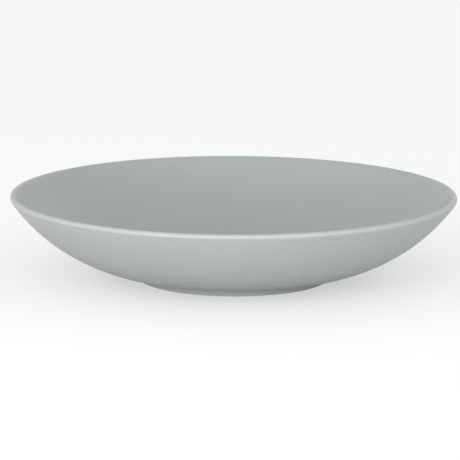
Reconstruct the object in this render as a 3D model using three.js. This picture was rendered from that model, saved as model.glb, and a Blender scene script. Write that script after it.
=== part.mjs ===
// A deep coupe plate: one fired clay body with a foot ring, under two separate coats of satin glaze.
// Sizes are in millimetres. The plate stands on z = 0 and +Z is the axis it is turned about.

import * as THREE from "three";

// Overall sizes, over the glaze
const PLATE_DIAMETER = 260;
const PLATE_HEIGHT = 50;

// Lip, wall and floor, over the glaze
const LIP_THICKNESS = 3.8;
const OUTER_WALL_RADIUS = 105;
const WALL_ROOT_THICKNESS = 6.4;
const FLOOR_THICKNESS = 5.4;

// Foot ring: the outside meets the wall at FOOT_HEIGHT, and both sides lean by the mould's draft
const FOOT_DIAMETER = 112;
const FOOT_HEIGHT = 3.5;
const FOOT_FACE_WIDTH = 3;
const FOOT_EDGE_RADIUS = 0.8;
const FOOT_FILLET_RADIUS = 1.2;
const FOOT_DRAFT_DEGREES = 8;

// Recess under the floor, inside the foot ring
const RECESS_DEPTH = 2.8;
const RECESS_FILLET_RADIUS = 1.6;

// Glaze, the hair's breadth where it is bonded to the clay, and the height of the foot that is wiped bare
const GLAZE_THICKNESS = 0.3;
const BOND_CLEARANCE = 0.01;
const BARE_FOOT_HEIGHT = 2;

// Fineness of the facets
const TURN_STEPS = 64;
const FLOOR_STEPS = 4;
const WALL_STEPS = 7;
const LIP_STEPS = 6;
const FILLET_STEPS = 2;

const point = (x, y) => new THREE.Vector2(x, y);
const along = (start, direction, length) => start.clone().addScaledVector(direction, length);
const angleFrom = (centre, target) => target.clone().sub(centre).angle();

// An arc from one point of a circle to another.
function arc(centre, start, end, clockwise) {
  const radius = centre.distanceTo(start);
  const from = angleFrom(centre, start);
  const to = angleFrom(centre, end);
  return new THREE.EllipseCurve(centre.x, centre.y, radius, radius, from, to, clockwise);
}

// The centre of the outer wall's arc, which runs through the foot's corner and touches the round lip.
function wallCentre(corner, lipCentre) {
  const toLip = lipCentre.clone().sub(corner);
  const span = toLip.length();
  const forward = toLip.divideScalar(span);
  const sideways = point(-forward.y, forward.x);
  const lipReach = OUTER_WALL_RADIUS - LIP_THICKNESS / 2;
  const advance = (span ** 2 + OUTER_WALL_RADIUS ** 2 - lipReach ** 2) / (2 * span);
  const rise = Math.sqrt(OUTER_WALL_RADIUS ** 2 - advance ** 2);
  return along(along(corner, forward, advance), sideways, rise);
}

// The clay's half section, as curves that run with the clay on their right.
// The upper run goes from the axis over the lip to the standing face, and the lower run back to the axis.
function claySection() {
  const lipCentre = point((PLATE_DIAMETER - LIP_THICKNESS) / 2, PLATE_HEIGHT - LIP_THICKNESS / 2);
  const footCorner = point(FOOT_DIAMETER / 2, FOOT_HEIGHT);
  const outerCentre = wallCentre(footCorner, lipCentre);
  const outerRadius = OUTER_WALL_RADIUS - GLAZE_THICKNESS;

  // Lip: a full round, which the two faces of the wall meet smoothly
  const lipRadius = LIP_THICKNESS / 2 - GLAZE_THICKNESS;
  const inward = outerCentre.clone().sub(lipCentre).normalize();
  const lipInside = along(lipCentre, inward, lipRadius);
  const lipOutside = along(lipCentre, inward, -lipRadius);

  // Inside of the wall: an arc from the lip to the wall's root above the foot
  const intoWall = outerCentre.clone().sub(footCorner).normalize();
  const root = along(footCorner, intoWall, WALL_ROOT_THICKNESS - GLAZE_THICKNESS);
  const chord = root.clone().sub(lipInside);
  const innerRadius = chord.lengthSq() / (2 * chord.dot(inward));
  const innerCentre = along(lipInside, inward, innerRadius);

  // Floor: level at the axis, then rising smoothly into the wall
  const floorCentre = point(0, RECESS_DEPTH + FLOOR_THICKNESS - GLAZE_THICKNESS);
  const handle = root.x / 3;
  const rootNormal = innerCentre.clone().sub(root).normalize();
  const rootHeading = point(rootNormal.y, -rootNormal.x);
  const floor = new THREE.CubicBezierCurve(
    floorCentre,
    along(floorCentre, point(1, 0), handle),
    along(root, rootHeading, -handle),
    root,
  );

  // Outside of the foot: a drafted wall with a fillet above and a rounded edge below
  const draft = THREE.MathUtils.degToRad(FOOT_DRAFT_DEGREES);
  const wallUp = point(Math.sin(draft), Math.cos(draft));
  const wallOut = point(wallUp.y, -wallUp.x);
  const footBase = point(FOOT_DIAMETER / 2, 0);
  const filletStart = along(footBase, wallOut, FOOT_FILLET_RADIUS).sub(outerCentre);
  const filletReach = outerRadius + FOOT_FILLET_RADIUS;
  const climb = filletStart.dot(wallUp);
  const filletHeight = -climb - Math.sqrt(climb ** 2 - filletStart.lengthSq() + filletReach ** 2);
  const filletFoot = along(footBase, wallUp, filletHeight);
  const filletCentre = along(filletFoot, wallOut, FOOT_FILLET_RADIUS);
  const filletWall = outerCentre.clone().lerp(filletCentre, outerRadius / filletReach);
  const edgeTop = along(footBase, wallUp, (FOOT_EDGE_RADIUS * (1 - wallUp.x)) / wallUp.y);
  const outerEdgeCentre = along(edgeTop, wallOut, -FOOT_EDGE_RADIUS);
  const faceOutside = point(outerEdgeCentre.x, 0);

  // Inside of the foot: the mirrored wall, rising through a fillet to the recess's flat ceiling
  const wellUp = point(-wallUp.x, wallUp.y);
  const wellOut = point(-wallOut.x, wallOut.y);
  const innerEdgeCentre = along(outerEdgeCentre, point(-1, 0), FOOT_FACE_WIDTH);
  const faceInside = point(innerEdgeCentre.x, 0);
  const wellFoot = along(innerEdgeCentre, wellOut, FOOT_EDGE_RADIUS);
  const ceiling = RECESS_DEPTH + GLAZE_THICKNESS;
  const wellRadius = Math.min(RECESS_FILLET_RADIUS, ceiling / (1 - wallUp.x) - FOOT_EDGE_RADIUS);
  const wellStart = along(wellFoot, wellOut, wellRadius);
  const wellCentre = along(wellStart, wellUp, (ceiling - wellRadius - wellStart.y) / wellUp.y);
  const wellTop = along(wellCentre, wellOut, -wellRadius);
  const wellCeiling = point(wellCentre.x, ceiling);

  return {
    upper: [
      [floor, FLOOR_STEPS],
      [arc(innerCentre, root, lipInside, false), WALL_STEPS],
      [arc(lipCentre, lipInside, lipOutside, true), LIP_STEPS],
      [arc(outerCentre, along(outerCentre, inward, -outerRadius), filletWall, true), WALL_STEPS],
      [arc(filletCentre, filletWall, filletFoot, false), FILLET_STEPS],
      [new THREE.LineCurve(filletFoot, edgeTop), 1],
      [arc(outerEdgeCentre, edgeTop, faceOutside, true), FILLET_STEPS],
    ],
    lower: [
      [arc(innerEdgeCentre, faceInside, wellFoot, true), FILLET_STEPS],
      [new THREE.LineCurve(wellFoot, wellTop), 1],
      [arc(wellCentre, wellTop, wellCeiling, false), FILLET_STEPS],
      [new THREE.LineCurve(wellCeiling, point(0, ceiling)), 1],
    ],
  };
}

// Points along a run of curves, each with the direction that leaves the clay.
function sampleRun(curves) {
  const samples = [];
  for (const [curve, steps] of curves) {
    for (let step = samples.length > 0 ? 1 : 0; step <= steps; step += 1) {
      const tangent = curve.getTangent(step / steps);
      samples.push({ at: curve.getPoint(step / steps), out: point(-tangent.y, tangent.x) });
    }
  }
  return samples;
}

// A run split where it last crosses a height; the crossing ends one half and starts the other.
function splitAtHeight(samples, height) {
  const crosses = (sample, index) => (sample.at.y - height) * (samples[index + 1].at.y - height) <= 0;
  const last = samples.slice(0, -1).findLastIndex(crosses);
  const [start, end] = [samples[last], samples[last + 1]];
  const share = (height - start.at.y) / (end.at.y - start.at.y);
  const crossing = { at: start.at.clone().lerp(end.at, share), out: start.out.clone().lerp(end.out, share) };
  return [[...samples.slice(0, last + 1), crossing], [crossing, ...samples.slice(last + 1)]];
}

// A line that keeps one distance from the clay.
const lineAt = (distance, samples) => samples.map((sample) => along(sample.at, sample.out, distance));

// The section of a coat, from the axis and back to it, on a run of clay that starts or ends on the axis.
function coatSection(samples) {
  const face = lineAt(GLAZE_THICKNESS, samples);
  const bond = lineAt(BOND_CLEARANCE, samples).toReversed();
  return samples[0].at.x === 0 ? [...face, ...bond] : [...bond, ...face];
}

// A solid turned about the axis from its half section, whose two ends are set exactly on the axis.
// A lathe's faces point outwards when its section runs up the outside, so the section is taken backwards.
function turned(name, section, material) {
  const closed = [point(0, section[0].y), ...section.slice(1, -1), point(0, section.at(-1).y)];
  const geometry = new THREE.LatheGeometry(closed.toReversed(), TURN_STEPS);
  geometry.rotateX(Math.PI / 2);
  const mesh = new THREE.Mesh(geometry, material);
  mesh.name = name;
  return mesh;
}

const bareClay = new THREE.MeshStandardMaterial({ color: 0xb4b4b0, roughness: 0.85, metalness: 0 });
const satinGlaze = new THREE.MeshStandardMaterial({ color: 0xb3bab8, roughness: 0.45, metalness: 0 });

const { upper, lower } = claySection();
const [glazedOutside, bareOutside] = splitAtHeight(sampleRun(upper), BARE_FOOT_HEIGHT);
const [bareInside, glazedInside] = splitAtHeight(sampleRun(lower), BARE_FOOT_HEIGHT);
const clayRun = [...glazedOutside, ...bareOutside.slice(1), ...bareInside, ...glazedInside.slice(1)];

const plate = new THREE.Group();
plate.add(
  turned("clay_body", lineAt(0, clayRun), bareClay),
  turned("glaze_coat", coatSection(glazedOutside), satinGlaze),
  turned("foot_well_glaze", coatSection(glazedInside), satinGlaze),
);

export default plate;
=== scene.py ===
# %% [markdown]
# This lesson dresses a deep coupe plate: a round ceramic plate for soup or pasta whose wall curves up from
# the foot to the lip in one sweep, with no flat rim. The plate is one fired piece of clay under a satin
# grey glaze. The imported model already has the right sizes, but its faces are flat facets. Here the same
# section is turned again on a fine mesh, and the clay and the glaze get finishes that hold up close to the
# camera.

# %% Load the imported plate
import math
from collections import namedtuple

import bmesh
import bpy
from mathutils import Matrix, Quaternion, Vector


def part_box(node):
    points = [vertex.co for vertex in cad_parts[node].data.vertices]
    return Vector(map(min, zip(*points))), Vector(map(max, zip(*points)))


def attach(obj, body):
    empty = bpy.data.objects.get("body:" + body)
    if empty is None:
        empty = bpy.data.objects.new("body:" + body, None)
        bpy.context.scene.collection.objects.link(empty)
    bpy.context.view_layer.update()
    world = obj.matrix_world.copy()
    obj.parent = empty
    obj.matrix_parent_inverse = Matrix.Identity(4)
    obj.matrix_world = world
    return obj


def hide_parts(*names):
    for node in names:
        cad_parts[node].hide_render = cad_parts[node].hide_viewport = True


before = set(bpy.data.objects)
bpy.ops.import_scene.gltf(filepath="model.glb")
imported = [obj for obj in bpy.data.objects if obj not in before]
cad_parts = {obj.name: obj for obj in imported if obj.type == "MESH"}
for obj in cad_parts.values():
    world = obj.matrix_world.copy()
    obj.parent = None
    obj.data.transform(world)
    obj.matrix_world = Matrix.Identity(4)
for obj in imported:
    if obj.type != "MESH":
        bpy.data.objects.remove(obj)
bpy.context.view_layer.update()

# %% [markdown]
# The photograph was taken from far away through a long lens, only a little above the table, so the near
# and the far side of the lip are almost the same size. A camera could be placed by eye, but the ellipse of
# the lip and the depth of the wall fix it: the values here come from fitting a turned shape to the plate's
# outline. The plate sits a touch to the right of the middle and a touch low, so the camera aims past it by
# that much.

# %% Camera
MM = 0.001
SENSOR_WIDTH_MM = 36
LENS_MM = 268
CAMERA_DISTANCE = 2000 * MM
CAMERA_ELEVATION = math.radians(10.94)
CAMERA_ROLL = math.radians(0.24)
AIM_HEIGHT = 25 * MM
AIM_LEFT = 2.07 * MM
AIM_ABOVE = 2.82 * MM

camera_data = bpy.data.cameras.new("Camera")
camera_data.sensor_width = SENSOR_WIDTH_MM
camera_data.lens = LENS_MM
camera = bpy.data.objects.new("Camera", camera_data)
bpy.context.scene.collection.objects.link(camera)
bpy.context.scene.camera = camera

towards_camera = Vector((0, -math.cos(CAMERA_ELEVATION), math.sin(CAMERA_ELEVATION)))
picture_up = Vector((0, math.sin(CAMERA_ELEVATION), math.cos(CAMERA_ELEVATION)))
plate_middle = Vector((0, 0, AIM_HEIGHT))
camera.location = plate_middle + towards_camera * CAMERA_DISTANCE
aim = plate_middle + Vector((-AIM_LEFT, 0, 0)) + picture_up * AIM_ABOVE
level_look = (aim - camera.location).to_track_quat("-Z", "Y")
camera.rotation_mode = "QUATERNION"
camera.rotation_quaternion = level_look @ Quaternion((0, 0, 1), CAMERA_ROLL)
print("camera at", [round(c, 3) for c in camera.location])

# %% [markdown]
# A plate is drawn as a potter's template draws it: half a section, from the axis over the lip to the foot
# and back under the floor. It could be typed as a long list of points, but arcs that touch each other stay
# smooth at any size. The lip is a full round. The outside is one arc through the foot's corner that touches
# the lip, so its centre is where two circles cross.

# %% Lip and outside of the wall
plate_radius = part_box("glaze_coat")[1].x
plate_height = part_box("glaze_coat")[1].z
LIP_THICKNESS = 3.8 * MM
OUTER_WALL_RADIUS = 105 * MM
FOOT_RADIUS = 56 * MM
FOOT_HEIGHT = 3.5 * MM

lip_centre = Vector((plate_radius - LIP_THICKNESS / 2, plate_height - LIP_THICKNESS / 2))
foot_corner = Vector((FOOT_RADIUS, FOOT_HEIGHT))


def touching_centre(corner, inner_centre, radius, inner_radius):
    """The centre of the circle through a corner that has a smaller circle touching it from inside."""
    forward = (inner_centre - corner).normalized()
    span = (inner_centre - corner).length
    advance = (span**2 + radius**2 - (radius - inner_radius) ** 2) / (2 * span)
    rise = math.sqrt(radius**2 - advance**2)
    return corner + forward * advance + Vector((-forward.y, forward.x)) * rise


outer_centre = touching_centre(foot_corner, lip_centre, OUTER_WALL_RADIUS, LIP_THICKNESS / 2)
print("outer wall's arc is centred at", [round(c / MM, 1) for c in outer_centre], "mm")

# %% [markdown]
# The wall is thickest at its root, above the foot, and thins towards the lip. The outside could simply be
# offset, but then the wall would be as thin at the root as at the lip, so the inside is an arc of its
# own, from the root to the lip, and it touches the lip's inner side. The named sizes are those of the
# glazed plate, so the glaze's thickness is taken off them to find the clay.

# %% Inside of the wall
WALL_ROOT_THICKNESS = 6.4 * MM
GLAZE_THICKNESS = 0.3 * MM


def angle_of(direction):
    """The angle of a direction in the section, from the outward way towards up."""
    return math.atan2(direction.y, direction.x)


outer_radius = OUTER_WALL_RADIUS - GLAZE_THICKNESS
lip_radius = LIP_THICKNESS / 2 - GLAZE_THICKNESS
lip_inward = (outer_centre - lip_centre).normalized()
lip_inside = lip_centre + lip_inward * lip_radius
lip_angle = angle_of(-lip_inward)

root_inward = (outer_centre - foot_corner).normalized()
root = foot_corner + root_inward * (WALL_ROOT_THICKNESS - GLAZE_THICKNESS)
chord = root - lip_inside
inner_radius = chord.length_squared / (2 * chord.dot(lip_inward))
inner_centre = lip_inside + lip_inward * inner_radius
root_angle = angle_of(root - inner_centre)
print("inside wall's arc has a radius of", round(inner_radius / MM, 1), "mm")

# %% [markdown]
# The foot ring came out of a mould, so its sides lean by the mould's draft, and a small fillet joins it to
# the wall, because a sharp corner there could crack in the kiln. The fillet touches the leaning side and
# the wall's arc, so its centre lies one fillet radius off both. The glaze was wiped from the lowest part of
# the foot, where it would have stuck to the kiln's shelf, and its edge there is the glaze line.

# %% Side of the foot
FOOT_DRAFT = math.radians(8)
FOOT_FILLET_RADIUS = 1.2 * MM
BARE_FOOT_HEIGHT = 2 * MM

side_up = Vector((math.sin(FOOT_DRAFT), math.cos(FOOT_DRAFT)))
side_out = Vector((math.cos(FOOT_DRAFT), -math.sin(FOOT_DRAFT)))
foot_base = Vector((FOOT_RADIUS, 0))
fillet_reach = outer_radius + FOOT_FILLET_RADIUS
fillet_offset = foot_base + side_out * FOOT_FILLET_RADIUS - outer_centre
climb = fillet_offset.dot(side_up)
fillet_height = -climb - math.sqrt(climb**2 - fillet_offset.length_squared + fillet_reach**2)
fillet_foot = foot_base + side_up * fillet_height
fillet_centre = fillet_foot + side_out * FOOT_FILLET_RADIUS
fillet_angle = angle_of(fillet_centre - outer_centre)
glaze_line = foot_base + side_up * (BARE_FOOT_HEIGHT / side_up.y)
print("the foot's fillet starts", round(fillet_foot.y / MM, 2), "mm above the table")

# %% [markdown]
# Inside the foot ring the underside is hollowed by a shallow recess, so that the plate stands on the ring
# alone and doesn't rock. The ring has small rounded edges that don't scratch a table, and a narrow face
# that was ground level. All of it is worked out from the side of the foot, so the ring keeps its shape when
# the foot is made wider.

# %% Foot ring and recess
FOOT_FACE_WIDTH = 3 * MM
FOOT_EDGE_RADIUS = 0.8 * MM
RECESS_DEPTH = 2.8 * MM
RECESS_FILLET_RADIUS = 1.6 * MM

edge_top = foot_base + side_up * (FOOT_EDGE_RADIUS * (1 - side_up.x) / side_up.y)
outer_edge_centre = edge_top - side_out * FOOT_EDGE_RADIUS
inner_edge_centre = outer_edge_centre - Vector((FOOT_FACE_WIDTH, 0))
well_up = Vector((-side_up.x, side_up.y))
well_out = Vector((-side_out.x, side_out.y))
well_foot = inner_edge_centre + well_out * FOOT_EDGE_RADIUS
ceiling = RECESS_DEPTH + GLAZE_THICKNESS
well_start = well_foot + well_out * RECESS_FILLET_RADIUS
well_centre = well_start + well_up * ((ceiling - RECESS_FILLET_RADIUS - well_start.y) / well_up.y)
well_top = well_centre - well_out * RECESS_FILLET_RADIUS
well_line_angle = math.asin((BARE_FOOT_HEIGHT - well_centre.y) / RECESS_FILLET_RADIUS)
well_line_ray = Vector((math.cos(well_line_angle), math.sin(well_line_angle)))
well_line = well_centre + well_line_ray * RECESS_FILLET_RADIUS
ring_edges = [round(centre.x / MM, 1) for centre in (inner_edge_centre, outer_edge_centre)]
print("the foot stands on a ring between", ring_edges, "mm from the axis")

# %% [markdown]
# The clay's section is needed twice: as the face of the clay, and as the line that the glaze keeps its
# distance from. So each point is kept with the direction that leaves the clay there. Moving every point
# along its own direction by the glaze's thickness gives the face of the glaze, on a curve as well as on a
# straight. A stretch of such points is called a run here.

# %% Helpers that draw a run


def arc_run(centre, radius, start, end, steps, side):
    """Points on an arc, each with the direction that leaves the clay: side 1 is away from the centre."""
    angles = [start + (end - start) * step / steps for step in range(steps + 1)]
    rays = [Vector((math.cos(angle), math.sin(angle))) for angle in angles]
    return [(centre + ray * radius, ray * side) for ray in rays]


def line_run(start, end, steps):
    """Points on a straight line, with the direction to its left."""
    heading = (end - start).normalized()
    left = Vector((-heading.y, heading.x))
    return [(start.lerp(end, step / steps), left) for step in range(steps + 1)]


def sweep_run(start, first_handle, last_handle, end, steps):
    """Points on a cubic sweep between two ends, with the direction to its left."""
    run = []
    for step in range(steps + 1):
        t = step / steps
        u = 1 - t
        place = start * u**3 + first_handle * (3 * u * u * t) + last_handle * (3 * u * t * t) + end * t**3
        heading = (first_handle - start) * u * u + (last_handle - first_handle) * (2 * u * t)
        heading = (heading + (end - last_handle) * t * t).normalized()
        run.append((place, Vector((-heading.y, heading.x))))
    return run


def joined(*runs):
    """Runs that start where the one before ends, as one run."""
    points = list(runs[0])
    for run in runs[1:]:
        points += run[1:]
    return points


print("kinds of run:", [run.__name__ for run in (arc_run, line_run, sweep_run)])

# %% [markdown]
# The upper run goes from the axis across the floor, up the inside, over the lip and down the outside to the
# glaze line on the foot. The floor is level at the axis and rises into the wall without a crease, because
# the photograph shows none. One arc couldn't meet the slopes at both ends, so a cubic sweep does. Fineness
# multiplies the steps of each stretch: the face of the glaze is seen and is drawn fine, while the clay
# under it is hidden and needs only a few points.

# %% Upper run of the clay
FLOOR_THICKNESS = 5.4 * MM
FLOOR_STEPS = 8
INSIDE_STEPS = 12
LIP_STEPS = 7
OUTSIDE_STEPS = 13
FILLET_STEPS = 3
FOOT_STEPS = 6

floor_centre = Vector((0, RECESS_DEPTH + FLOOR_THICKNESS - GLAZE_THICKNESS))
floor_handle = root.x / 3
root_heading = Vector((-math.sin(root_angle), math.cos(root_angle)))


def upper_run(fineness):
    """The clay from the axis to the glaze line on the outside of the foot."""
    floor = sweep_run(
        floor_centre,
        floor_centre + Vector((floor_handle, 0)),
        root - root_heading * floor_handle,
        root,
        FLOOR_STEPS * fineness,
    )
    inside = arc_run(inner_centre, inner_radius, root_angle, lip_angle, INSIDE_STEPS * fineness, -1)
    lip = arc_run(lip_centre, lip_radius, lip_angle + math.pi, lip_angle, LIP_STEPS * fineness, 1)
    outside = arc_run(outer_centre, outer_radius, lip_angle, fillet_angle, OUTSIDE_STEPS * fineness, 1)
    fillet = arc_run(
        fillet_centre,
        FOOT_FILLET_RADIUS,
        fillet_angle + math.pi,
        math.pi - FOOT_DRAFT,
        FILLET_STEPS * fineness,
        -1,
    )
    foot = line_run(fillet_foot, glaze_line, FOOT_STEPS * fineness)
    return joined(floor, inside, lip, outside, fillet, foot)


print("points in the upper run:", len(upper_run(1)))

# %% [markdown]
# The lower part of the section is two runs: one over the bare foot ring, from the glaze line on its outside
# to the one on its inside, and one over the recess, which is glazed again. They could be one run that is
# cut up later, but the pieces meet at the glaze lines, so it is simpler when a run ends on each of them.

# %% Lower runs of the clay
BARE_FOOT_STEPS = 9
RECESS_SIDE_STEPS = 6
BARE_FILLET_STEPS = 3
RECESS_FILLET_STEPS = 9
RECESS_CEILING_STEPS = 8
STRAIGHT_DOWN = -math.pi / 2
STRAIGHT_UP = math.pi / 2


def foot_run():
    """The bare clay from the glaze line outside the foot to the one inside it."""
    outside = line_run(glaze_line, edge_top, BARE_FOOT_STEPS)
    outer_edge = arc_run(
        outer_edge_centre, FOOT_EDGE_RADIUS, -FOOT_DRAFT, STRAIGHT_DOWN, BARE_FOOT_STEPS, 1
    )
    face = line_run(outer_edge[-1][0], Vector((inner_edge_centre.x, 0)), BARE_FOOT_STEPS)
    inner_edge = arc_run(
        inner_edge_centre, FOOT_EDGE_RADIUS, STRAIGHT_DOWN, FOOT_DRAFT - math.pi, BARE_FOOT_STEPS, 1
    )
    inside = line_run(well_foot, well_top, RECESS_SIDE_STEPS)
    fillet = arc_run(
        well_centre, RECESS_FILLET_RADIUS, FOOT_DRAFT, well_line_angle, BARE_FILLET_STEPS, -1
    )
    return joined(outside, outer_edge, face, inner_edge, inside, fillet)


def well_run(fineness):
    """The clay from the glaze line inside the foot to the axis under the floor."""
    steps = RECESS_FILLET_STEPS * fineness
    fillet = arc_run(well_centre, RECESS_FILLET_RADIUS, well_line_angle, STRAIGHT_UP, steps, -1)
    ceiling_edge = Vector((well_centre.x, ceiling))
    under = line_run(ceiling_edge, Vector((0, ceiling)), RECESS_CEILING_STEPS * fineness)
    return joined(fillet, under)


print("points in the lower runs:", len(foot_run()), len(well_run(1)))

# %% [markdown]
# Melted glaze doesn't stop square. Surface tension draws it up into a small bead along the glaze line, and
# it ends in a round edge on the clay. The bead could be faked in the finish, but it is real shape, so it
# goes into the section.

# %% Bead of the glaze
BEAD_RISE = 0.07 * MM
BEAD_LENGTH = 0.7 * MM
EDGE_LENGTH = 0.25 * MM
BOND_CLEARANCE = 0.01 * MM


def smooth_step(value):
    """0 below 0, 1 above 1, and a soft rise between."""
    share = min(max(value, 0), 1)
    return share * share * (3 - 2 * share)


def beaded_lift(gap):
    """How far the face of the glaze stands off the clay, at a distance from its glaze line."""
    swell = BEAD_RISE * smooth_step(1 - abs(gap - EDGE_LENGTH) / BEAD_LENGTH)
    round_edge = math.sqrt(1 - (1 - min(gap / EDGE_LENGTH, 1)) ** 2)
    return max((GLAZE_THICKNESS + swell) * round_edge, BOND_CLEARANCE)


print("the glaze is", round(beaded_lift(EDGE_LENGTH) / MM, 2), "mm thick along its bead")

# %% [markdown]
# While it is melted, glaze also runs thin over the lip, and the glaze is paler there, most of all on the
# outer side of the lip: partly the thin glaze, and partly a painted highlight. Glaze also gathers in the
# fillet above the foot, where it is paler too, and a little way up the wall: that is painted light, which
# lightens the shade in the crease. Both are kept as one number at each point, for the finish to read later.
# The finish could guess it from the height, but the inside and the outside of the wall share their heights.

# %% Depth of the glaze, with a painted highlight and painted light
MIDDLE_DEPTH = 0.5
# The paler glaze on the lip is partly thin glaze and partly a painted highlight, set about this tilt.
THIN_AND_HIGHLIGHT_TILT = math.radians(34)
THIN_AND_HIGHLIGHT_NEAR = math.cos(math.radians(20))
THIN_AND_HIGHLIGHT_FAR = math.cos(math.radians(50))
# How far from the fillet the painted light above the foot reaches.
PAINTED_LIGHT_REACH = 7 * MM
thin_and_highlight_way = Vector((math.cos(THIN_AND_HIGHLIGHT_TILT), math.sin(THIN_AND_HIGHLIGHT_TILT)))


def glaze_depth_and_painted_light(place, out):
    """Glaze depth: 0 where thin over the lip, plus a painted highlight; 1 where gathered, plus painted light.
    """
    on_lip = (place - lip_centre).length < LIP_THICKNESS
    # A painted highlight on the lip, together with the thin glaze there.
    thin_and_highlight_share = smooth_step((out.dot(thin_and_highlight_way) - THIN_AND_HIGHLIGHT_FAR) / (THIN_AND_HIGHLIGHT_NEAR - THIN_AND_HIGHLIGHT_FAR)) if on_lip else 0
    # Painted light: the glaze near the fillet above the foot is made paler, lightening the shade in the
    # crease.
    painted_light_share = smooth_step(1 - (place - fillet_centre).length / PAINTED_LIGHT_REACH)
    return MIDDLE_DEPTH - MIDDLE_DEPTH * thin_and_highlight_share + MIDDLE_DEPTH * painted_light_share


lip_depth = glaze_depth_and_painted_light(lip_centre + thin_and_highlight_way * lip_radius, thin_and_highlight_way)
fillet_painted_light_depth = glaze_depth_and_painted_light(fillet_foot, side_out)
print("depth of the glaze:", round(lip_depth, 2), "on the lip,", round(fillet_painted_light_depth, 2), "above the foot")

# %% [markdown]
# A coat of glaze is a thin skin with two sides: a face that shows and a side that is bonded to the clay,
# which stands off it by a hair, so that the two pieces don't share a surface. Beside its place, each point
# carries how deep the glaze is (with its painted light), whether it is on the skin that shows, and which way
# it slides where the glaze line was wiped unevenly. Solidify would thicken a skin too, but evenly, without
# the bead.

# %% Two sides of a coat
SLIDE_REACH = 0.9 * MM
FACE_FINENESS = 3
BOND_FINENESS = 1
SectionPoint = namedtuple("SectionPoint", "place depth skin slide")


def near_line(place, line_point):
    """1 on the glaze line and 0 a short way from it."""
    return smooth_step(1 - (place - line_point).length / SLIDE_REACH)


def coat_sides(run_of, line_point, line_heading):
    """The face of a coat and its bonded side, each in the direction of the clay's run."""
    face = []
    for place, out in run_of(FACE_FINENESS):
        share = near_line(place, line_point)
        lifted = place + out * beaded_lift((place - line_point).length)
        face.append(SectionPoint(lifted, glaze_depth_and_painted_light(place, out), 1 - share, line_heading * share))
    bond = []
    for place, out in run_of(BOND_FINENESS):
        slide = line_heading * near_line(place, line_point)
        bond.append(SectionPoint(place + out * BOND_CLEARANCE, MIDDLE_DEPTH, 0, slide))
    return face, bond


outer_face, outer_bond = coat_sides(upper_run, glaze_line, side_up)
well_heading = Vector((-math.sin(well_line_angle), math.cos(well_line_angle)))
well_face, well_bond = coat_sides(well_run, well_line, well_heading)
print("points on the faces of the coats:", len(outer_face), len(well_face))

# %% [markdown]
# Each piece is now one closed section that starts and ends on the axis. A coat goes out along one side and
# comes back along the other; the clay goes all the way round. They could go round either way, but the faces
# point outwards only if all three go the same way.

# %% Closed sections of the three pieces
coat_section = outer_face + outer_bond[::-1]
well_section = well_bond[::-1] + well_face
clay_run = joined(upper_run(BOND_FINENESS), foot_run(), well_run(BOND_FINENESS))
clay_section = [SectionPoint(place, MIDDLE_DEPTH, 0, Vector((0, 0))) for place, out in clay_run]
print("points in the sections:", len(clay_section), len(coat_section), len(well_section))

# %% [markdown]
# The turning is a Geometry Nodes tree, because the whole plate follows one rule: read the section point by
# point and carry it round the axis. A Screw modifier would do that too, but a tree can also give the plate
# what a kiln gives it: a lip that is level only to a tenth of a millimetre or two, a glaze line that was
# wiped by hand, and a face that ripples a little. Each of these has a named input, and the seed draws the
# warp and the wiping.

# %% Named inputs of the turning tree
TURNING_INPUTS = {
    "Steps": "NodeSocketInt",
    "Plate Radius": "NodeSocketFloat",
    "Kiln Warp": "NodeSocketFloat",
    "Glaze Line Drift": "NodeSocketFloat",
    "Glaze Ripple": "NodeSocketFloat",
    "Ripple Length": "NodeSocketFloat",
    "Seed": "NodeSocketInt",
    "Finish": "NodeSocketMaterial",
}

turning_tree = bpy.data.node_groups.new("Turn a section", "GeometryNodeTree")
turning_tree.interface.new_socket("Section", in_out="INPUT", socket_type="NodeSocketGeometry")
for name, kind in TURNING_INPUTS.items():
    turning_tree.interface.new_socket(name, in_out="INPUT", socket_type=kind)
turning_tree.interface.new_socket("Solid", in_out="OUTPUT", socket_type="NodeSocketGeometry")
given = turning_tree.nodes.new("NodeGroupInput").outputs
result = turning_tree.nodes.new("NodeGroupOutput").inputs
print("inputs of the turning tree:", ", ".join(TURNING_INPUTS))

# %% [markdown]
# A node tree is easier to read as sums than as boxes and wires. The nodes could be made and wired one by
# one, but that takes several lines each, so a few helpers stand for those that come back: any node with its
# inputs, a piece of arithmetic, a noise, and a noise made to swing about zero. The finishes use them, too.

# %% Helpers that build a node tree


def linked(tree, kind, links, **settings):
    """A node with its settings, and with inputs linked to sockets or set to plain values."""
    node = tree.nodes.new(kind)
    for name, value in settings.items():
        setattr(node, name, value)
    for name, value in links.items():
        if isinstance(value, bpy.types.NodeSocket):
            tree.links.new(value, node.inputs[name])
        else:
            node.inputs[name].default_value = value
    return node


def maths(tree, operation, *values):
    """The result of a math node whose inputs are sockets or plain numbers."""
    return linked(tree, "ShaderNodeMath", dict(enumerate(values)), operation=operation).outputs[0]


def noise(tree, vector, waves, detail=2.0, roughness=0.5):
    """A noise from 0 to 1, with so many waves to a unit of the vector."""
    links = {"Vector": vector, "Scale": waves, "Detail": detail, "Roughness": roughness}
    return linked(tree, "ShaderNodeTexNoise", links).outputs["Fac"]


def swing(tree, value, amount):
    """A value from 0 to 1 turned into one that swings between minus and plus an amount."""
    centred = maths(tree, "MULTIPLY_ADD", value, 2.0, -1.0)
    return maths(tree, "MULTIPLY", centred, amount)


print("the turning tree has", len(turning_tree.nodes), "nodes so far")

# %% [markdown]
# The tree starts with a flat grid that has one row of points for each point of the section and one column
# for each step round the axis, with one more to meet the first. Sample Index hands every grid point the
# numbers of its own section point. Curve to Mesh could sweep the section round a circle instead, but on a
# grid a point's number alone says which section point it belongs to and how far round it goes.

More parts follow.
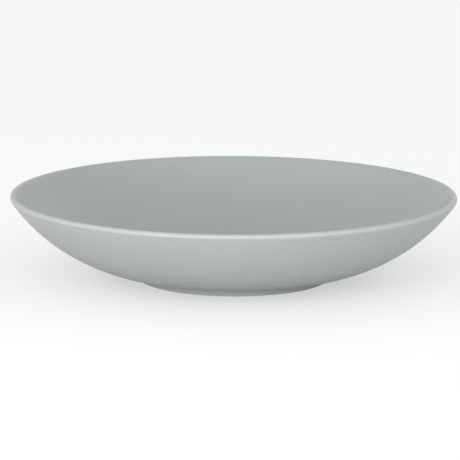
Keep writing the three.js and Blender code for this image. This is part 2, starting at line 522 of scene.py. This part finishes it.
# %% Grid of section points
section_size = linked(turning_tree, "GeometryNodeAttributeDomainSize", {"Geometry": given["Section"]})
rows = section_size.outputs["Point Count"]
columns = maths(turning_tree, "ADD", given["Steps"], 1.0)
grid = linked(turning_tree, "GeometryNodeMeshGrid", {"Vertices X": columns, "Vertices Y": rows})
grid_index = linked(turning_tree, "GeometryNodeInputIndex", {}).outputs[0]
grid_row = maths(turning_tree, "FLOORED_MODULO", grid_index, rows)


def section_value(name, kind):
    """What the section holds under a name, handed to the grid points of each row."""
    held = linked(turning_tree, "GeometryNodeInputNamedAttribute", {"Name": name}, data_type=kind)
    links = {"Geometry": given["Section"], "Value": held.outputs[0], "Index": grid_row}
    sampled = linked(turning_tree, "GeometryNodeSampleIndex", links, data_type=kind, domain="POINT")
    return sampled.outputs[0]


def with_stored(mesh, name):
    """The grid with a number of the section stored on it, for the ripple and the finish to read."""
    links = {"Geometry": mesh, "Name": name, "Value": section_value(name, "FLOAT")}
    kind = "GeometryNodeStoreNamedAttribute"
    return linked(turning_tree, kind, links, data_type="FLOAT", domain="POINT").outputs[0]


# The depth also carries the painted highlight on the lip and the painted light above the foot.
flat_grid = with_stored(with_stored(grid.outputs["Mesh"], "depth"), "skin")
print("the turning tree has", len(turning_tree.nodes), "nodes so far")

# %% [markdown]
# Now the grid is rolled up: each point is carried round the axis to its column's angle. The wiping slides
# points along the clay near the glaze line, and the kiln's warp lifts the lip far more than the foot, as
# the cube of the radius. Both read a noise on a circle; a noise along the angle would leave a step where
# the turn begins and ends.

# %% Roll the grid up
# Half a point, so that rounding can't put a point into the column before its own.
INDEX_GUARD = 0.5
WIPE_WAVES = 5.0
WIPE_DETAIL = 3.0
WARP_WAVES = 1.1
WARP_DETAIL = 0.0
WARP_POWER = 3.0


def split_vector(tree, vector):
    """The three numbers of a vector."""
    return linked(tree, "ShaderNodeSeparateXYZ", {"Vector": vector}).outputs


def rolled_up_place(tree):
    """Where a grid point goes: its section point carried round, with the kiln's warp and the wiping."""
    guarded = maths(tree, "ADD", grid_index, INDEX_GUARD)
    column = maths(tree, "FLOOR", maths(tree, "DIVIDE", guarded, rows))
    angle = maths(tree, "DIVIDE", maths(tree, "MULTIPLY", column, math.tau), given["Steps"])
    cosine = maths(tree, "COSINE", angle)
    sine = maths(tree, "SINE", angle)
    on_circle = {"X": cosine, "Y": sine, "Z": given["Seed"]}
    around = linked(tree, "ShaderNodeCombineXYZ", on_circle).outputs[0]

    place = split_vector(tree, section_value("place", "FLOAT_VECTOR"))
    slide = split_vector(tree, section_value("slide", "FLOAT_VECTOR"))
    wiping = swing(tree, noise(tree, around, WIPE_WAVES, WIPE_DETAIL), given["Glaze Line Drift"])
    radius = maths(tree, "MULTIPLY_ADD", slide["X"], wiping, place["X"])
    level = maths(tree, "MULTIPLY_ADD", slide["Z"], wiping, place["Z"])

    lip_share = maths(tree, "POWER", maths(tree, "DIVIDE", radius, given["Plate Radius"]), WARP_POWER)
    warp = swing(tree, noise(tree, around, WARP_WAVES, WARP_DETAIL), given["Kiln Warp"])
    spot = {
        "X": maths(tree, "MULTIPLY", radius, cosine),
        "Y": maths(tree, "MULTIPLY", radius, sine),
        "Z": maths(tree, "MULTIPLY_ADD", warp, lip_share, level),
    }
    return linked(tree, "ShaderNodeCombineXYZ", spot).outputs[0]


rolling = {"Geometry": flat_grid, "Position": rolled_up_place(turning_tree)}
rolled_grid = linked(turning_tree, "GeometryNodeSetPosition", rolling).outputs[0]
print("the turning tree has", len(turning_tree.nodes), "nodes so far")

# %% [markdown]
# The seam and the two poles of the rolled grid are still open, so points in the same place are merged, and
# the faces are flipped to point outwards. The skin that shows is then rippled along its normals, as glaze
# that has flowed is. A Displace modifier could do it, but it would need a vertex group where the tree just
# reads the number that the point carries.

# %% Close and ripple the solid
MERGE_DISTANCE = 0.001 * MM
RIPPLE_DETAIL = 1.0


def ripple_offset(tree):
    """A small push along the normal, only on the skin that shows."""
    position = linked(tree, "GeometryNodeInputPosition", {}).outputs[0]
    waves = maths(tree, "DIVIDE", 1.0, given["Ripple Length"])
    push = swing(tree, noise(tree, position, waves, RIPPLE_DETAIL), given["Glaze Ripple"])
    skin = linked(tree, "GeometryNodeInputNamedAttribute", {"Name": "skin"}, data_type="FLOAT").outputs[0]
    normal = linked(tree, "GeometryNodeInputNormal", {}).outputs[0]
    scaled = {0: normal, "Scale": maths(tree, "MULTIPLY", push, skin)}
    return linked(tree, "ShaderNodeVectorMath", scaled, operation="SCALE").outputs[0]


merging = {"Geometry": rolled_grid, "Distance": MERGE_DISTANCE}
solid = linked(turning_tree, "GeometryNodeMergeByDistance", merging).outputs[0]
solid = linked(turning_tree, "GeometryNodeFlipFaces", {"Mesh": solid}).outputs[0]
rippling = {"Geometry": solid, "Offset": ripple_offset(turning_tree)}
solid = linked(turning_tree, "GeometryNodeSetPosition", rippling).outputs[0]
solid = linked(turning_tree, "GeometryNodeSetShadeSmooth", {"Geometry": solid}).outputs[0]
solid = linked(turning_tree, "GeometryNodeRealizeInstances", {"Geometry": solid}).outputs[0]
finishing = {"Geometry": solid, "Material": given["Finish"]}
solid = linked(turning_tree, "GeometryNodeSetMaterial", finishing).outputs[0]
turning_tree.links.new(solid, result["Solid"])
print("the turning tree has", len(turning_tree.nodes), "nodes")

# %% [markdown]
# Seen close to, neither clay nor glaze is one flat colour. A painted picture could be wrapped round the
# plate, but it would blur up close, so the finishes are built of noises at real scales. They read the
# plate's own coordinates, so the patterns stay put when the plate is moved. These helpers start a finish
# and lay colours: a tone that varies, colours along a ramp, and one colour over another.

# %% Helpers that build a finish
Layer = namedtuple("Layer", "waves detail roughness swing")


def new_finish(name):
    """A material, its tree, its shader, and the place on the piece that its patterns read."""
    material = bpy.data.materials.new(name)
    material.use_nodes = True
    tree = material.node_tree
    place = linked(tree, "ShaderNodeTexCoord", {}).outputs["Object"]
    return material, tree, tree.nodes["Principled BSDF"], place


def layered(tree, place, layer):
    """A change about 0: so many waves to a metre, and how far they swing."""
    return swing(tree, noise(tree, place, layer.waves, layer.detail, layer.roughness), layer.swing)


def ramp(tree, value, *colours):
    """A colour between two or more evenly spaced ones, by a value from 0 to 1."""
    node = linked(tree, "ShaderNodeValToRGB", {"Fac": value})
    stops = node.color_ramp.elements
    for index in range(1, len(colours) - 1):
        stops.new(index / (len(colours) - 1))
    for stop, colour in zip(stops, colours):
        stop.color = colour
    return node.outputs["Color"]


def varied(tree, colour, *changes):
    """A colour made lighter and darker by the sum of some changes about 0."""
    strength = 1.0
    for change in changes:
        strength = maths(tree, "ADD", strength, change)
    links = {0: colour, "Scale": strength}
    return linked(tree, "ShaderNodeVectorMath", links, operation="SCALE").outputs[0]


def blended(tree, share, under, over):
    """One colour laid over another by a share."""
    return linked(tree, "ShaderNodeMixRGB", {0: share, 1: under, 2: over}).outputs["Color"]


print("a layer is told by its", ", ".join(Layer._fields))

# %% [markdown]
# The specks of clay and the pits in the glaze are small, round and scattered. They could be modelled, but
# there are thousands of them, each far smaller than a pinhead, so they are a Voronoi texture: it cuts space
# into cells with one point each, and a speck is what lies near that point. Only some of the cells keep
# theirs, chosen by the colour that the texture draws for each cell.

# %% Helper that scatters specks
Speckling = namedtuple("Speckling", "cells size keep")


def specks(tree, place, speckling):
    """A mask of specks: cells to a metre, a speck's share of its cell, and the share of cells with one."""
    links = {"Vector": place, "Scale": speckling.cells, "Randomness": 1.0}
    cell = linked(tree, "ShaderNodeTexVoronoi", links).outputs
    dot = maths(tree, "LESS_THAN", cell["Distance"], speckling.size)
    lucky = linked(tree, "ShaderNodeSeparateColor", {"Color": cell["Color"]}).outputs[0]
    return maths(tree, "MULTIPLY", dot, maths(tree, "LESS_THAN", lucky, speckling.keep))


print("specks are told by their", ", ".join(Speckling._fields))

# %% [markdown]
# The glaze is a satin grey with a breath of green in it. It is paler where it ran thin over the lip, which
# also paints a highlight there, and again where it gathered above the foot, which is painted light on the
# shade of the crease. Its crystals make a fine mottle, and a few pinprick specks of the clay show through.
# One colour would look like plastic, so each of these is a layer here, at its own real scale.

# %% Colour of the satin glaze
# Paler glaze on the lip: partly thin glaze, partly a painted highlight.
THIN_GLAZE_AND_PAINTED_HIGHLIGHT = (0.401, 0.436, 0.424, 1)
WALL_GLAZE = (0.342, 0.3725, 0.362, 1)
# Paler glaze above the foot: painted light on the shade of the crease.
PAINTED_LIGHT_ABOVE_FOOT = (0.376, 0.409, 0.398, 1)
SPECK = (0.220, 0.232, 0.224, 1)
GLAZE_CLOUDS = Layer(waves=14.0, detail=3.0, roughness=0.5, swing=0.05)
GLAZE_MOTTLE = Layer(waves=420.0, detail=4.0, roughness=0.6, swing=0.07)
GLAZE_GRAINS = Layer(waves=2600.0, detail=2.0, roughness=0.5, swing=0.10)
PINPRICKS = Speckling(cells=520.0, size=0.10, keep=0.22)
PINPRICK_STRENGTH = 0.55


def glaze_colour(tree, place):
    """Tones by glaze depth and painted light, varied by its clouds, mottle and grains, under dark pinpricks.
    """
    # The depth carries a painted highlight on the lip and painted light above the foot.
    depth = linked(tree, "ShaderNodeAttribute", {}, attribute_name="depth").outputs["Fac"]
    changes = [layered(tree, place, layer) for layer in (GLAZE_CLOUDS, GLAZE_MOTTLE, GLAZE_GRAINS)]
    ground = varied(tree, ramp(tree, depth, THIN_GLAZE_AND_PAINTED_HIGHLIGHT, WALL_GLAZE, PAINTED_LIGHT_ABOVE_FOOT), *changes)
    pinpricks = maths(tree, "MULTIPLY", specks(tree, place, PINPRICKS), PINPRICK_STRENGTH)
    return blended(tree, pinpricks, ground, SPECK)


satin_glaze, glaze_tree, glaze_shader, glaze_place = new_finish("satin_glaze")
glaze_tree.links.new(glaze_colour(glaze_tree, glaze_place), glaze_shader.inputs["Base Color"])
print("glaze finish has", len(glaze_tree.nodes), "nodes so far")

# %% [markdown]
# A satin glaze shines softly and not like glass, because its skin is minutely uneven: it has a low orange
# peel, a fine tooth of crystals, and pits where bubbles broke. A high roughness alone would look like matt
# paint, so the roughness is only middling and the unevenness is a relief.

# %% Sheen and relief of the satin glaze
GLAZE_ROUGHNESS = 0.40
SHEEN_PATCHES = Layer(waves=60.0, detail=3.0, roughness=0.5, swing=0.02)
SHEEN_GRAINS = Layer(waves=1500.0, detail=2.0, roughness=0.5, swing=0.012)
PEEL_WAVES = 340.0
PEEL_DEPTH = 0.075 * MM
TOOTH_WAVES = 3200.0
TOOTH_DETAIL = 3.0
TOOTH_DEPTH = 0.006 * MM
PITS = Speckling(cells=900.0, size=0.09, keep=0.35)
PIT_DEPTH = 0.010 * MM
GLAZE_IOR = 1.5


def bumped(tree, height, depth, under=None):
    """A normal with a relief of a real depth in metres, over another normal."""
    links = {"Height": height, "Distance": depth, "Strength": 1.0}
    if under is not None:
        links["Normal"] = under
    return linked(tree, "ShaderNodeBump", links).outputs["Normal"]


def glaze_roughness(tree, place):
    """A middling roughness that varies in patches and in grains."""
    patches = layered(tree, place, SHEEN_PATCHES)
    grains = layered(tree, place, SHEEN_GRAINS)
    return maths(tree, "ADD", maths(tree, "ADD", patches, grains), GLAZE_ROUGHNESS)


def glaze_relief(tree, place):
    """Orange peel, a fine tooth on it, and pits in both."""
    peel = bumped(tree, noise(tree, place, PEEL_WAVES), PEEL_DEPTH)
    tooth = bumped(tree, noise(tree, place, TOOTH_WAVES, TOOTH_DETAIL), TOOTH_DEPTH, peel)
    level = maths(tree, "SUBTRACT", 1.0, specks(tree, place, PITS))
    return bumped(tree, level, PIT_DEPTH, tooth)


glaze_tree.links.new(glaze_roughness(glaze_tree, glaze_place), glaze_shader.inputs["Roughness"])
glaze_tree.links.new(glaze_relief(glaze_tree, glaze_place), glaze_shader.inputs["Normal"])
glaze_shader.inputs["IOR"].default_value = GLAZE_IOR
print("glaze finish has", len(glaze_tree.nodes), "nodes")

# %% [markdown]
# The bare foot is the clay itself, fired hard but not glazed: dry, a shade warmer than the glaze, with fine
# grog in it, which is crushed fired clay. A plain grey could do for so narrow a band, but it is seen close
# to when the plate is turned over, so it has its grain, its clouds and its grog.

# %% Colour of the bare clay
PALE_CLAY = (0.455, 0.466, 0.457, 1)
DARK_CLAY = (0.378, 0.387, 0.379, 1)
GROG = (0.270, 0.272, 0.264, 1)
GRAIN_WAVES = 2200.0
GRAIN_DETAIL = 4.0
GRAIN_ROUGHNESS = 0.65
GRAIN_SHARE = 0.7
CLAY_CLOUDS = Layer(waves=70.0, detail=3.0, roughness=0.5, swing=0.3)
CLAY_TONE = 0.15
GROG_SPECKS = Speckling(cells=1100.0, size=0.16, keep=0.3)
GROG_STRENGTH = 0.6


def clay_colour(tree, place, grain):
    """Tones by the grain and by clouds, with grog in them."""
    clouds = layered(tree, place, CLAY_CLOUDS)
    tone = maths(tree, "ADD", maths(tree, "MULTIPLY", grain, GRAIN_SHARE), clouds)
    tone = maths(tree, "ADD", tone, CLAY_TONE)
    grog = maths(tree, "MULTIPLY", specks(tree, place, GROG_SPECKS), GROG_STRENGTH)
    return blended(tree, grog, ramp(tree, tone, PALE_CLAY, DARK_CLAY), GROG)


bare_clay, clay_tree, clay_shader, clay_place = new_finish("bare_clay")
clay_grain = noise(clay_tree, clay_place, GRAIN_WAVES, GRAIN_DETAIL, GRAIN_ROUGHNESS)
clay_tree.links.new(clay_colour(clay_tree, clay_place, clay_grain), clay_shader.inputs["Base Color"])
print("clay finish has", len(clay_tree.nodes), "nodes so far")

# %% [markdown]
# Bare clay is matt and a little coarse to the touch. The standing face was ground flat on a wheel, so it
# has fine rings about the axis, too. The rings are noise read along the radius; a Wave texture would make
# them as well, but too evenly.

# %% Grain and ground rings of the bare clay
CLAY_ROUGHNESS = 0.82
CLAY_ROUGHNESS_SWING = 0.08
GRAIN_DEPTH = 0.030 * MM
RING_WAVES = 5200.0
RING_DEPTH = 0.008 * MM


def along_radius(tree, place):
    """A place told by its distance from the axis and its height, so that noise on it makes rings."""
    split = split_vector(tree, place)
    flat = linked(tree, "ShaderNodeCombineXYZ", {"X": split["X"], "Y": split["Y"]}).outputs[0]
    radius = linked(tree, "ShaderNodeVectorMath", {0: flat}, operation="LENGTH").outputs["Value"]
    return linked(tree, "ShaderNodeCombineXYZ", {"X": radius, "Y": split["Z"]}).outputs[0]


def clay_relief(tree, place, grain):
    """The coarse grain, with the ground rings on it."""
    rings = noise(tree, along_radius(tree, place), RING_WAVES)
    return bumped(tree, rings, RING_DEPTH, bumped(tree, grain, GRAIN_DEPTH))


roughness_change = swing(clay_tree, clay_grain, CLAY_ROUGHNESS_SWING)
clay_roughness = maths(clay_tree, "ADD", roughness_change, CLAY_ROUGHNESS)
clay_tree.links.new(clay_roughness, clay_shader.inputs["Roughness"])
clay_tree.links.new(clay_relief(clay_tree, clay_place, clay_grain), clay_shader.inputs["Normal"])
print("clay finish has", len(clay_tree.nodes), "nodes")

# %% [markdown]
# A piece starts as nothing but its section: a line of points that carries the numbers which the tree reads.
# They could be typed into the tree as values, but as attributes of a mesh they serve all three pieces with
# one tree.

# %% Section as a line of points


def section_object(name, section):
    """A line of points in the XZ plane, with the values of each point as attributes."""
    mesh = bpy.data.meshes.new(name)
    places = [(point.place.x, 0, point.place.y) for point in section]
    mesh.from_pydata(places, [(first, first + 1) for first in range(len(section) - 1)], [])
    slides = [(point.slide.x, 0, point.slide.y) for point in section]
    for attribute, vectors in (("place", places), ("slide", slides)):
        stored = mesh.attributes.new(attribute, "FLOAT_VECTOR", "POINT")
        stored.data.foreach_set("vector", [number for vector in vectors for number in vector])
    for attribute in ("depth", "skin"):
        stored = mesh.attributes.new(attribute, "FLOAT", "POINT")
        stored.data.foreach_set("value", [getattr(point, attribute) for point in section])
    piece = bpy.data.objects.new(name, mesh)
    bpy.context.scene.collection.objects.link(piece)
    return piece


print("a section point is told by its", ", ".join(SectionPoint._fields))

# %% [markdown]
# The tree is put on a piece as a modifier, and its inputs are set by the identifiers of their sockets. The
# modifier could stay, but then what is exported would depend on it, so the result is made a plain mesh and
# the modifier is taken off.

# %% Turn a section into a solid
TURNING_SIZES = {
    "Steps": 360,
    "Plate Radius": plate_radius,
    "Kiln Warp": 0.15 * MM,
    "Glaze Line Drift": 0.16 * MM,
    "Glaze Ripple": 0.02 * MM,
    "Ripple Length": 14 * MM,
    "Seed": 7,
}


def turned_piece(name, section, finish):
    """The solid that a section turns into, as a plain mesh."""
    inputs = {**TURNING_SIZES, "Finish": finish}
    piece = section_object(name, section)
    turning = piece.modifiers.new("Turning", "NODES")
    turning.node_group = turning_tree
    for socket in turning_tree.interface.items_tree:
        if socket.name in inputs:
            turning[socket.identifier] = inputs[socket.name]
    graph = bpy.context.evaluated_depsgraph_get()
    evaluated = piece.evaluated_get(graph)
    mesh = bpy.data.meshes.new_from_object(evaluated, preserve_all_data_layers=True, depsgraph=graph)
    piece.modifiers.remove(turning)
    piece.data = mesh
    mesh.name = name
    return piece


print("the turning takes", TURNING_SIZES["Steps"], "steps round the axis")

# %% [markdown]
# Now the three pieces are turned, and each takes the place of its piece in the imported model. A volume above
# zero shows that the faces point outwards, and no open edge shows that the seam and the poles are shut.

# %% Turn the three pieces
CUBIC_CM = 1e-6


def print_measures(piece):
    """Prints how many triangles a piece has, its volume, and how many of its edges are open."""
    shape = bmesh.new()
    shape.from_mesh(piece.data)
    triangles = sum(len(face.verts) - 2 for face in shape.faces)
    open_edges = sum(not edge.is_manifold for edge in shape.edges)
    volume = round(shape.calc_volume(signed=True) / CUBIC_CM, 2)
    shape.free()
    print(piece.name, "has", triangles, "triangles,", volume, "cubic cm and", open_edges, "open edges")


for node, name, section, finish, slot in (
    ("clay_body", "turned_clay", clay_section, bare_clay, "clay"),
    ("glaze_coat", "turned_glaze", coat_section, satin_glaze, "glaze"),
    ("foot_well_glaze", "turned_well_glaze", well_section, satin_glaze, "glaze"),
):
    piece = turned_piece(name, section, finish)
    print_measures(piece)
    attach(piece, "root")
    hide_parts(node)

# %% [markdown]
# The plate stands on a plain pale floor that runs on to the horizon. It could be a backdrop that curves up
# behind the plate, but that would stand in the way of a camera that walks round, so it is a wide level
# sheet, a hair below the foot. The wall overhangs the foot by far, and the shadow under it would swallow
# the foot's outline, which is plain to see in the photograph. Lighting the floor from below would clear the
# shadow, but it would light the dark underside of the wall too. So there are two sheets: a pale one with a
# mere trace of glow, which only lights the plate, and one that glows well and that only the camera sees, on
# which the shadow is soft and pale.

# %% Floor
FLOOR_SIDE = 40.0
FLOOR_DROP = 0.05 * MM
FLOOR_ROUGHNESS = 0.9
SHEET_GAP = 0.01 * MM
LIGHTING_COLOUR = (0.94, 0.94, 0.94, 1)
LIGHTING_GLOW = 0.03
SEEN_COLOUR = (0.5, 0.5, 0.5, 1)
SEEN_GLOW = 0.5
WHITE = (1, 1, 1, 1)


def floor_sheet(name, drop, colour, glow):
    """A wide, level and matt sheet, some way below the foot, with a glow of its own."""
    half = FLOOR_SIDE / 2
    corners = [(-half, -half), (half, -half), (half, half), (-half, half)]
    mesh = bpy.data.meshes.new(name)
    mesh.from_pydata([(x, y, -drop) for x, y in corners], [], [(0, 1, 2, 3)])
    finish = bpy.data.materials.new(name)
    finish.use_nodes = True
    shader = finish.node_tree.nodes["Principled BSDF"]
    shader.inputs["Base Color"].default_value = colour
    shader.inputs["Roughness"].default_value = FLOOR_ROUGHNESS
    shader.inputs["Specular IOR Level"].default_value = 0.0
    shader.inputs["Emission Color"].default_value = WHITE
    shader.inputs["Emission Strength"].default_value = glow
    mesh.materials.append(finish)
    sheet = bpy.data.objects.new(name, mesh)
    bpy.context.scene.collection.objects.link(sheet)
    return sheet


floor = floor_sheet("Floor", FLOOR_DROP, SEEN_COLOUR, SEEN_GLOW)
floor.visible_diffuse = False
floor.visible_glossy = False
floor.visible_transmission = False
floor.visible_shadow = False
lighting_floor = floor_sheet("Lighting floor", FLOOR_DROP + SHEET_GAP, LIGHTING_COLOUR, LIGHTING_GLOW)
lighting_floor.visible_camera = False
print("floor is", FLOOR_SIDE, "m across")

# %% [markdown]
# The inside of the plate is calm and even in the photograph. A high light would make the plate's floor the
# brightest place, so the white room around it has walls that are brighter than its ceiling. One grey for
# the whole room would be simpler, but the plate would look flat in it. Down at the horizon the room is only
# as bright as the floor, and no line shows between them.

# %% White room
# The strength of the room's light, by degrees above the horizon.
ROOM_LIGHT = {0: 0.885, 12: 0.93, 30: 0.93, 70: 0.60}

world = bpy.data.worlds.new("White room")
world.use_nodes = True
room_tree = world.node_tree
heading = linked(room_tree, "ShaderNodeTexCoord", {}).outputs["Generated"]
rise = linked(room_tree, "ShaderNodeSeparateXYZ", {"Vector": heading}).outputs["Z"]
room = linked(room_tree, "ShaderNodeValToRGB", {"Fac": rise})
room.color_ramp.interpolation = "EASE"
stops = room.color_ramp.elements
stops.remove(stops[1])
for degrees, strength in ROOM_LIGHT.items():
    stop = stops.new(math.sin(math.radians(degrees))) if degrees > 0 else stops[0]
    stop.color = (strength, strength, strength, 1)
room_tree.links.new(room.outputs["Color"], room_tree.nodes["Background"].inputs["Color"])
bpy.context.scene.world = world
bpy.context.scene.view_settings.view_transform = "Standard"
print("the room's light has", len(stops), "levels")

# %% [markdown]
# In the photograph the front of the lip is the brightest place on the plate. It has a soft highlight on
# each side of the middle, and the left one is the brighter. On a round lip a highlight lies halfway
# between the camera and its light, so the lights stood twice as far round: two low panels in front of the
# plate. Small lamps would leave hard dots on the lip, so the panels are large. A weak one behind lights
# the near left of the inside.

# %% Soft panels


def soft_panel(name, azimuth, elevation, distance, width, height, radiance):
    """A soft panel that faces the plate, so many degrees to the right of the camera and above the floor."""
    panel = bpy.data.lights.new(name, "AREA")
    panel.shape = "RECTANGLE"
    panel.size = width
    panel.size_y = height
    panel.energy = math.pi * width * height * radiance
    light = bpy.data.objects.new(name, panel)
    turn = math.radians(azimuth)
    lift = math.radians(elevation)
    way = Vector((math.sin(turn) * math.cos(lift), -math.cos(turn) * math.cos(lift), math.sin(lift)))
    light.location = plate_middle + way * distance
    light.rotation_euler = (-way).to_track_quat("-Z", "Y").to_euler()
    light.visible_camera = False
    bpy.context.scene.collection.objects.link(light)


FRONT_PANEL = {"elevation": 14, "distance": 1.5, "width": 0.98, "height": 0.83}
BACK_PANEL = {"elevation": 22, "distance": 2.0, "width": 1.07, "height": 0.53}
soft_panel("Left panel", azimuth=-26, radiance=4.4, **FRONT_PANEL)
soft_panel("Right panel", azimuth=14, radiance=2.25, **FRONT_PANEL)
soft_panel("Panel behind", azimuth=165, radiance=0.55, **BACK_PANEL)
